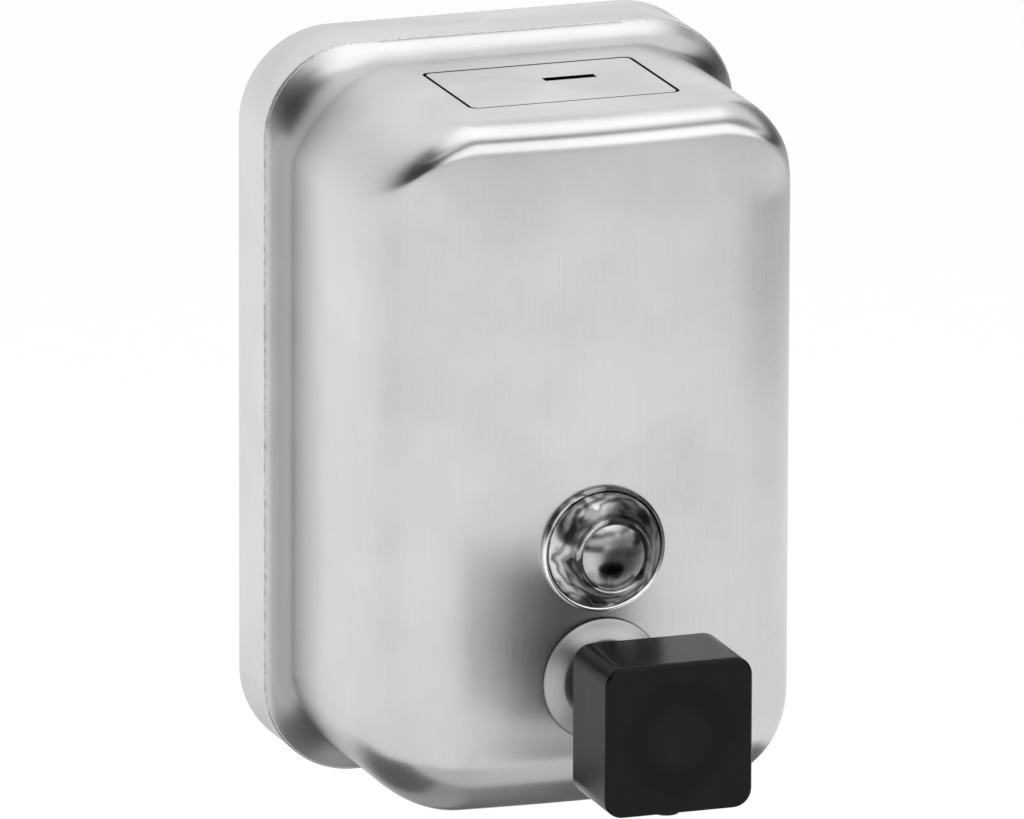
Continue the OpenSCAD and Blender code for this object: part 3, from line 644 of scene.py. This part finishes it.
def drawn_front(wall):
    """Height of the drawn front over a place, moved in by a wall.

    The face is crowned a little. The edge is tight along the top, softer along the bottom and wide at the
    sides. Round a corner the tight edge deepens and fades into the wide one.
    """
    centre = body_half - Vector((body_corner, body_corner))

    def drop(inset, width, depth, bend=2):
        past = 1 - max(0, min(1, inset / width))
        return depth * (1 - (1 - past ** bend) ** (1 / bend))

    def height(x, y):
        reach = Vector((max(0, abs(x) - centre.x), max(0, abs(y) - centre.y)))
        inset = body_corner - wall - reach.length
        sideways = reach.x / reach.length if reach.length else 0
        end_r = (top_edge_r if y > 0 else bottom_edge_r) - wall
        side_r = upright_edge_r - wall
        turn = sideways * sideways * (3 - 2 * sideways)
        fade = sideways ** crease_hold
        tight = drop(inset, end_r * (1 - crease_narrowing * turn), end_r + (side_r - end_r) * turn)
        wide = drop(inset, side_r, side_r * side_sweep, side_bend)
        sag = face_crown * math.sin(math.pi / 2 * min(1, abs(x) / body_half.x)) ** 2
        return front - wall - sag - tight * (1 - fade) - wide * fade

    return height


def flare(vert, wall, turn):
    """Moves a point on to the cove between the rim and the body, at a turn from the body's side.

    The cove's radius follows the room between the two outlines, so it is wider at the corners.
    """
    side = on_outline(vert.co.xy, body_half, body_corner, 0)
    room = on_outline(side, rim_half, rim_corner, -flange_edge_r) - side
    radius = room.length / (1 - math.cos(outer_cove_turn))
    out = radius - (radius + wall) * math.cos(turn)
    depth = radius * math.sin(outer_cove_turn) - (radius + wall) * math.sin(turn)
    vert.co = (*(side + room.normalized() * out), lip_front + depth)


def shrink(vert, size, height):
    """Moves a point of the front towards its middle."""
    place = vert.co.xy * size
    vert.co = (*place, height(*place))


def drawn_skin():
    """Outside, cove, flange edge and inside of the drawn shell, as one closed sheet."""
    bm = bmesh.new()
    edge_steps, edge_turn, cove_steps = 48, 86, 12
    face_rings, ring_size = 26, 0.92
    turns = [math.radians(edge_turn * k / edge_steps) for k in range(edge_steps + 1)]
    insets = [upright_edge_r * (1 - math.cos(turn)) for turn in turns]
    lip = arc((-flange_edge_r, lip_front - flange_edge_r), flange_edge_r, 0, 90, 4)
    seam = [(-seam_edge_r, flange_back)]
    foot = rounded_loop(bm, body_half, body_corner, (0, flange_back), steps=32, cuts=25)
    for vert in bm.verts:
        set_off(vert, rim_half, rim_corner, (0, flange_back + seam_edge_r))
    for edge, wall, start in ((lip, 0, outer_cove_turn), (seam, sheet, inner_cove_turn)):
        height = drawn_front(wall)
        over = [(-wall - inset * (1 - wall / upright_edge_r), height) for inset in insets]
        loop = sweep(bm, foot, rim_half, rim_corner, edge)
        for k in range(cove_steps + 1):
            loop = draw_out(bm, loop, lambda vert: flare(vert, wall, start * (1 - k / cove_steps)))
        loop = sweep(bm, loop, body_half, body_corner, over)
        for _ in range(face_rings):
            loop = draw_out(bm, loop, lambda vert: shrink(vert, ring_size, height))
        bmesh.ops.contextual_create(bm, geom=loop)
    bmesh.ops.recalc_face_normals(bm, faces=bm.faces)
    return front_object(bm, "shell")


def drawn_shell():
    """Drawn front with the lid's opening and the holes for the pump and the gauge."""
    shell = drawn_skin()
    opening = slab(
        "lid_opening", lid_half.xy + Vector((lid_gap, lid_gap)), lid_corner + lid_gap,
        body_half.y - cut_reach, body_half.y + cut_reach, lid_middle,
    )
    soften(combine(shell, "DIFFERENCE", opening), opening_edge_r)
    ends = (front - cut_reach, front + cut_reach)
    for radius, axis in ((neck_r, pump_axis), (shank_r, sight_axis)):
        combine(shell, "DIFFERENCE", rod("hole", radius + hole_room, *(Vector((0, axis, z)) for z in ends)))
    return dress(shell, "front_shell")


def rim_band():
    """Rear band with its hem turned in along the wall, ground flush with the flange of the shell."""
    bm = bmesh.new()
    section = [(-sheet, flange_back), (-seam_edge_r, flange_back), (0, flange_back - seam_edge_r)]
    section += arc((-hem_bend, hem_bend), hem_bend, 0, -90, 5)
    section += [(-hem_w, 0), (-hem_w, sheet)]
    section += arc((-hem_bend, hem_bend), hem_bend - sheet, -90, 0, 5)
    loop = rounded_loop(bm, rim_half, rim_corner, section[0], steps=24)
    sweep(bm, loop, rim_half, rim_corner, section[1:] + section[:1])
    bmesh.ops.remove_doubles(bm, verts=bm.verts, dist=MERGE)
    bmesh.ops.recalc_face_normals(bm, faces=bm.faces)
    band = front_object(bm, "band")
    screw = middle(screw_low, screw_high)
    ends = [Vector((screw.x, reach - rim_half.y, screw.z)) for reach in (-cut_reach, cut_reach)]
    combine(band, "DIFFERENCE", rod("lock_hole", lock_hole_r, *ends))
    return dress(soften(band, hem_edge_r), "rim_band")


def hinge_ear(hinge, top, depth):
    """Ear of the lid with a round foot about the hinge, up to a height, at a depth from the wall."""
    ear_r = hinge_drop - lid_t
    # Just under the full radius, so that the two round corners don't run into each other
    foot_r = ear_r * 0.999
    bm = bmesh.new()
    bmesh.ops.create_grid(bm, x_segments=1, y_segments=1, size=1)
    bmesh.ops.scale(bm, verts=bm.verts, vec=(ear_r, ear_r, 1))
    upper = [vert for vert in bm.verts if vert.co.y > 0]
    bmesh.ops.translate(bm, verts=upper, vec=(0, top - hinge.y - ear_r, 0))
    lower = [vert for vert in bm.verts if vert.co.y < 0]
    bmesh.ops.bevel(
        bm, geom=lower, offset=foot_r, offset_type="OFFSET", segments=12, profile=0.5,
        affect="VERTICES", material=-1,
    )
    thicken(bm, ear_t)
    bmesh.ops.translate(bm, verts=bm.verts, vec=(hinge.x, hinge.y, depth))
    return front_object(bm, "ear")


def fill_lid():
    """Flush lid with broken edges, its key slot and two hinge ears."""
    under = lid_high.z - lid_t
    lid = slab(
        "lid", lid_half.xy - Vector((lid_trim, lid_trim)), lid_corner, under, lid_high.z, lid_middle
    )
    hinge = Vector((lid_low.x + hinge_inset, lid_high.z - hinge_drop))
    for depth in (-lid_high.y + lid_corner, -lid_low.y - lid_corner - ear_t):
        combine(lid, "UNION", hinge_ear(hinge, under + lid_t / 2, depth))
    ends = [Vector((hinge.x, hinge.y, -y)) for y in (lid_low.y - sheet, lid_high.y + sheet)]
    key = slab(
        "key_slot", slot_size / 2, slot_corner, under - sheet, lid_high.z + sheet,
        lid_middle.xy + slot_from_middle,
    )
    combine(lid, "DIFFERENCE", rod("pin_hole", hinge_hole_r, *ends), key)
    return dress(soften(lid, lid_edge_r), "lid_plate")


# Sight gauge

def sight_bezel():
    """Trumpet-shaped bezel with a beaded lip, a raised ring round the lens and a threaded shank."""
    edge = (bezel_high.x - bezel_low.x) / 2
    ring_top = -bezel_low.y
    shank_end = -bezel_high.y
    lip_h, bead_r, chamfer = 1.4 * MM, 0.65 * MM, 0.2 * MM
    ring_wall = 1.25 * MM
    ring_r = lens_r + fit + ring_wall
    ring_mid = ring_top - ring_wall / 2
    flare_r = 6.5 * MM
    seat_w, seat_rise = 1.6 * MM, 0.2 * MM
    light_r = lens_r - seat_w
    lens_seat = front + seat_rise
    bead = (edge - bead_r, front + lip_h - bead_r)
    hollow = (ring_r + flare_r, ring_mid)
    meet = math.degrees(math.acos((edge - 2 * bead_r - hollow[0]) / flare_r))
    section = [(light_r, shank_end), (shank_r, shank_end), (shank_r, front), (edge - chamfer, front)]
    section += [(edge, front + chamfer)] + arc(bead, bead_r, 0, 165, 12)
    section += arc(hollow, flare_r, -meet, -180, 24)
    section += arc((ring_r - ring_wall / 2, ring_mid), ring_wall / 2, 15, 180, 10)
    section += [(lens_r + fit, lens_seat), (light_r, lens_seat)]
    return dress(turned("bezel", section, sight_axis), "sight_bezel", smooth_angle=28)


def sight_lens():
    """Clear domed lens with a hollow underside."""
    foot = -lens_high.y
    apex = -lens_low.y
    rise, wall, chamfer = 3.2 * MM, 1.6 * MM, 0.2 * MM
    dome_r = (lens_r ** 2 + rise ** 2) / (2 * rise)
    centre = (0, apex - dome_r)
    sweep_out = math.degrees(math.asin(lens_r / dome_r))
    inner_r = dome_r - wall
    sweep_in = math.degrees(math.asin((lens_r - wall) / inner_r))
    section = arc(centre, dome_r, 90, 90 - sweep_out, 16)
    section += [(lens_r, foot + chamfer), (lens_r - chamfer, foot), (lens_r - wall, foot)]
    section += arc(centre, inner_r, 90 - sweep_in, 90, 12)
    return dress(turned("lens", section, sight_axis, closed=False), "sight_lens", smooth_angle=28)


# Pump

def escutcheon():
    """Turned disc with a slightly domed face, a fine lip and an undercut back."""
    edge = (disc_high.x - disc_low.x) / 2
    face = -disc_low.y
    bore = neck_r + fit
    rim = front + 0.75 * MM
    edge_r, land, crown, chamfer = 0.2 * MM, 0.8 * MM, 0.1 * MM, 0.1 * MM
    undercut_w, undercut_h = 0.7 * MM, 0.25 * MM
    steps = 8
    start = Vector((edge - edge_r, rim))
    end = Vector((bore + land, face))
    section = [(bore, front), (edge - undercut_w, front), (edge - undercut_w, front + undercut_h)]
    section += arc((edge - edge_r, rim - edge_r), edge_r, -60, 90, 6)
    for k in range(1, steps + 1):
        section.append(start.lerp(end, k / steps) + Vector((0, crown * math.sin(math.pi * k / steps))))
    section += [(bore + chamfer, face), (bore, face - chamfer)]
    return dress(turned("disc", section, pump_axis), "valve_escutcheon")


def button_cap(half, back, face, floor, wall):
    """Square cap that is open at the back, with soft edges and a shallow thumb dish."""
    corner, edge_r, lip = 4.2 * MM, 0.9 * MM, 0.3 * MM
    dish_r, dish_depth, dish_rings = 12.6 * MM, 0.85 * MM, 14
    bm = bmesh.new()
    section = [(-wall, floor), (-wall, back + lip), (lip - wall, back), (-lip, back), (0, back + lip)]
    section += arc((-edge_r, face - edge_r), edge_r, 0, 90, 6)
    loop = rounded_loop(bm, half, corner, section[0], steps=10)
    bmesh.ops.contextual_create(bm, geom=loop)
    sweep(bm, loop, half, corner, section[1:])
    bowl = [
        (dish_r * k / dish_rings, face - dish_depth * (0.5 + 0.5 * math.cos(math.pi * k / dish_rings)))
        for k in range(dish_rings + 1)
    ]
    spin_section(bm, bowl, closed=False, steps=64)
    open_edges = [edge for edge in bm.edges if edge.is_boundary]
    bmesh.ops.triangle_fill(bm, edges=open_edges, use_beauty=True)
    bmesh.ops.recalc_face_normals(bm, faces=bm.faces)
    bmesh.ops.translate(bm, verts=bm.verts, vec=(0, pump_axis, 0))
    return front_object(bm, "button")


def push_button():
    """Hollow square button with a stem boss, ribs and an outlet duct."""
    half = Vector((button_high.x - button_low.x, button_high.z - button_low.z)) / 2
    back, face = -button_high.y, -button_low.y
    wall, dish_room = 2.4 * MM, 0.9 * MM
    floor = face - dish_room - wall
    stem_r = (stem_high.x - stem_low.x) / 2 + fit
    stem_end = -stem_low.y
    boss_r, bore_r, sink = 6.5 * MM, 2.25 * MM, 0.5 * MM
    nozzle = middle(nozzle_low, nozzle_high)
    nozzle_r = (nozzle_high.x - nozzle_low.x) / 2
    duct_wall, nozzle_room = 1.85 * MM, 1.3 * MM
    duct_floor = pump_axis - half.y + wall / 2
    nozzle_top = nozzle_high.z + nozzle_room
    rib_t, rib_set = 0.8 * MM, 5 * MM
    reach = half.x - wall / 2

    def on_stem(z):
        return Vector((0, pump_axis, z))

    def on_duct(y):
        return Vector((0, y, nozzle.z))

    def rib(low_x, high_x, low_y, high_y):
        return brick("rib", Vector((low_x, low_y, back + rib_set)), Vector((high_x, high_y, floor + sink)))

    button = button_cap(half, back, face, floor, wall)
    combine(
        button, "UNION",
        rod("boss", boss_r, on_stem(back), on_stem(floor + sink)),
        rod("duct", nozzle_r + duct_wall, on_duct(pump_axis), on_duct(duct_floor)),
        rib(-reach, sink - boss_r, pump_axis - rib_t, pump_axis + rib_t),
        rib(boss_r - sink, reach, pump_axis - rib_t, pump_axis + rib_t),
        rib(-rib_t, rib_t, pump_axis + boss_r - sink, pump_axis + reach),
    )
    combine(
        button, "DIFFERENCE",
        rod("socket", stem_r, on_stem(back - sheet), on_stem(stem_end)),
        rod("bore", bore_r, on_stem(back), on_stem(nozzle.z)),
        rod("drop", bore_r, on_duct(pump_axis + bore_r), on_duct(nozzle_top - sheet)),
        rod("seat", nozzle_r + fit, on_duct(nozzle_top), on_duct(pump_axis - half.y - sheet)),
    )
    return dress(button, "push_button", smooth_angle=35)


def pressed_spring(node, joint, axis):
    """Smooth copy of a spring on the body of its node; the share of its length that its joint's stroke leaves
    is worked out but not used.
    """
    bm = bmesh.new()
    bm.from_mesh(frame["nodes"][node].data)
    bmesh.ops.remove_doubles(bm, verts=bm.verts, dist=MERGE)
    spring = dress(new_object(bm, "spring"), node)
    low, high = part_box(node)
    length = (high - low).dot(axis)
    stroke = joint_of[joint]["range_m"][1]
    (length - stroke) / length
    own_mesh(spring)


for make in (drawn_shell, rim_band, fill_lid, sight_bezel, sight_lens, escutcheon, push_button):
    make()
pressed_spring("return_spring", "button_press", Vector((0, 1, 0)))
pressed_spring("latch_spring", "latch_slide", Vector((1, 0, 0)))


# CAD nodes that keep their shape

for name, node in frame["nodes"].items():
    if node.hide_render:
        continue
    node.data.materials.clear()
    node.data.materials.append(finishes[slot_of[name]])


# Stage, lights and camera

floor_z = -0.3
mat_lift = 0.01


def studio_ray(place):
    """1 for the rays that show the white surroundings: camera, glossy and transmission rays."""
    ways = ("Is Camera Ray", "Is Glossy Ray", "Is Transmission Ray")
    camera, glossy, through = (place.node("LightPath", {}, {}, way) for way in ways)
    return place.maths("MAXIMUM", place.maths("MAXIMUM", camera, glossy), through)


def white_world():
    """White surroundings that light the object at a lower, even level."""
    world = bpy.data.worlds.new("white_room")
    bpy.context.scene.world = world
    room = bare(world)
    ambient = 0.7
    strength = ambient + (1 - ambient) * studio_ray(room)
    light = room.node("Background", {}, {"Color": (1, 1, 1, 1), "Strength": strength})
    room.node("OutputWorld", {}, {"Surface": light})


def pale_floor():
    """White paper floor below the object, clear when it is seen from below."""
    floor_half = 4
    bm = bmesh.new()
    bmesh.ops.create_grid(bm, x_segments=1, y_segments=1, size=floor_half)
    bmesh.ops.translate(bm, verts=bm.verts, vec=(0, 0, floor_z))
    floor = new_object(bm, "floor")
    material = bpy.data.materials.new("pale_floor")
    place = object_place(material)
    speckle = place.noise((60,) * 3)
    paper = place.node("BsdfDiffuse", {}, {"Color": speckle.tint(grey(0.88), grey(0.89))})
    lift = place.node("Emission", {}, {"Color": (1, 1, 1, 1), "Strength": 0.34 * studio_ray(place)})
    lit = place.node("AddShader", {}, {0: paper, 1: lift})
    clear = place.node("BsdfTransparent")
    from_below = place.node("NewGeometry", {}, {}, "Backfacing")
    shown = place.node("MixShader", {}, {0: from_below, 1: lit, 2: clear})
    place.node("OutputMaterial", {}, {"Surface": shown})
    floor.data.materials.append(material)


def softbox(name, at, towards, size, radiance):
    """Rectangular lamp; its power follows from how bright its face is."""
    lamp = bpy.data.lights.new(name, "AREA")
    lamp.shape = "RECTANGLE"
    lamp.size, lamp.size_y = size
    lamp.energy = radiance * math.pi * size[0] * size[1]
    box = bpy.data.objects.new(name, lamp)
    box.location = at
    box.rotation_euler = (Vector(towards) - Vector(at)).to_track_quat("-Z", "Y").to_euler()
    bpy.context.scene.collection.objects.link(box)


def glossy_only(obj, level, shown=None):
    """Gives a stage piece an even glow that only reflections see, faded by a function of the place."""
    material = bpy.data.materials.new(obj.name)
    place = object_place(material)
    glow = place.node("Emission", {}, {"Color": (*grey(level), 1), "Strength": 1.0})
    if shown:
        glow = place.node("MixShader", {}, {0: shown(place), 1: place.node("BsdfTransparent"), 2: glow})
    place.node("OutputMaterial", {}, {"Surface": glow})
    obj.data.materials.append(material)
    for way in ("camera", "diffuse", "transmission", "volume_scatter", "shadow"):
        setattr(obj, "visible_" + way, False)


def screen(name, azimuths, elevations, level, soft=5, distance=0.9):
    """Curved dark or bright screen with soft edges round the body, seen only in reflections.

    Angles are in degrees. Azimuth 0 is in front, 90 at the right.
    """
    ranges = [[math.radians(angle) for angle in pair] for pair in (azimuths, elevations)]
    half = math.radians(soft) / 2
    across, upward = 24, 8
    bm = bmesh.new()
    bmesh.ops.create_grid(bm, x_segments=across, y_segments=upward, size=1)
    for vert in bm.verts:
        azimuth, elevation = (
            low - half + (high - low + 2 * half) * (value + 1) / 2
            for value, (low, high) in zip(vert.co, ranges)
        )
        ring = distance * math.cos(elevation)
        vert.co = (ring * math.sin(azimuth), -ring * math.cos(azimuth), distance * math.sin(elevation))

    def shown(place):
        angles = [
            place.maths("ARCTAN2", place.axis("X"), 0 - place.axis("Y")),
            place.maths("ARCSINE", place.axis("Z") / distance),
        ]
        inside = 1
        for angle, (low, high) in zip(angles, ranges):
            inside = angle.step(low - half, low + half) * (1 - angle.step(high - half, high + half)) * inside
        return inside

    glossy_only(new_object(bm, name), level, shown)


def mat(name, low, high, level):
    """Mat above the floor, seen only in reflections."""
    low, high = Vector(low), Vector(high)
    bm = bmesh.new()
    bmesh.ops.create_grid(bm, x_segments=1, y_segments=1, size=0.5)
    bmesh.ops.scale(bm, verts=bm.verts, vec=(*(high - low), 1))
    bmesh.ops.translate(bm, verts=bm.verts, vec=(*((low + high) / 2), floor_z + mat_lift))
    glossy_only(new_object(bm, name), level)


def photo_camera():
    """Long lens at the left above the body, with its aim a little beside the body's middle."""
    azimuth, elevation, roll = math.radians(-19.44), math.radians(15.07), math.radians(0.18)
    distance, focal_length = 4.03, 640.4
    body_middle = Vector((0, -0.045, 0))
    aim_left, aim_up = 5.66 * MM, 2.94 * MM
    back = Vector((
        math.sin(azimuth) * math.cos(elevation), -math.cos(azimuth) * math.cos(elevation), math.sin(elevation)
    ))
    right = Vector((math.cos(azimuth), math.sin(azimuth), 0))
    up = back.cross(right)
    aim = body_middle - aim_left * right + aim_up * up
    data = bpy.data.cameras.new("photo_camera")
    data.lens = focal_length
    data.sensor_width = 36
    data.clip_end = 20
    camera = bpy.data.objects.new("photo_camera", data)
    turn = Matrix((right, up, back)).transposed().to_4x4()
    camera.matrix_world = Matrix.Translation(aim + distance * back) @ turn @ Matrix.Rotation(roll, 4, "Z")
    bpy.context.scene.collection.objects.link(camera)
    bpy.context.scene.camera = camera


white_world()
pale_floor()
softbox("overhead_softbox", (0.05, -0.1, 1.5), (0, -0.05, 0), (1.4, 1.0), 0.55)
softbox("front_softbox", (0.5, -1.5, 0.75), (0, -0.05, 0), (1.2, 0.7), 0.5)
screen("left_screen", (-112, -15), (3, 45), 0.02)
screen("left_top", (-112, -48), (46, 62), 0.04)
screen("left_strip", (-15, 20), (38, 50), 0.12)
screen("middle_strip", (20, 33), (41, 48), 0.6)
screen("right_strip", (33, 90), (33, 45), 0.25)
screen("right_screen", (56, 145), (2, 24), 0.03)
screen("low_light", (-10, 52), (8, 36), 1.7, distance=0.92)
screen("high_light", (-10, 80), (54, 85), 1.7, soft=12)
screen("right_wall", (34, 150), (-12, 2), 0.55, soft=6, distance=0.94)
screen("right_glow", (34, 150), (-32, -14.5), 1.12, soft=8, distance=0.96)
screen("front_card", (-70, 10), (-18.5, -9), 1.08, soft=12, distance=0.88)
screen("left_card", (-185, -104), (-34, 10), 1.14, soft=34)
screen("brow", (-40, 48), (9, 21), 0.73, soft=6, distance=0.215)
screen("button_flag", (-8, 12), (-38, -28.5), 0.4, soft=4, distance=0.14)
mat("under_mat", (-0.07, -0.13), (0.03, 0.3), 0.42)
mat("right_mat", (0.03, -0.13), (0.3, 0.3), 0.15)
mat("left_mat", (-0.3, -0.13), (-0.07, 0.3), 0.14)
mat("front_mat", (-0.25, -0.3), (0.2, -0.13), 0.7)
photo_camera()

bpy.context.scene.view_settings.view_transform = "Standard"
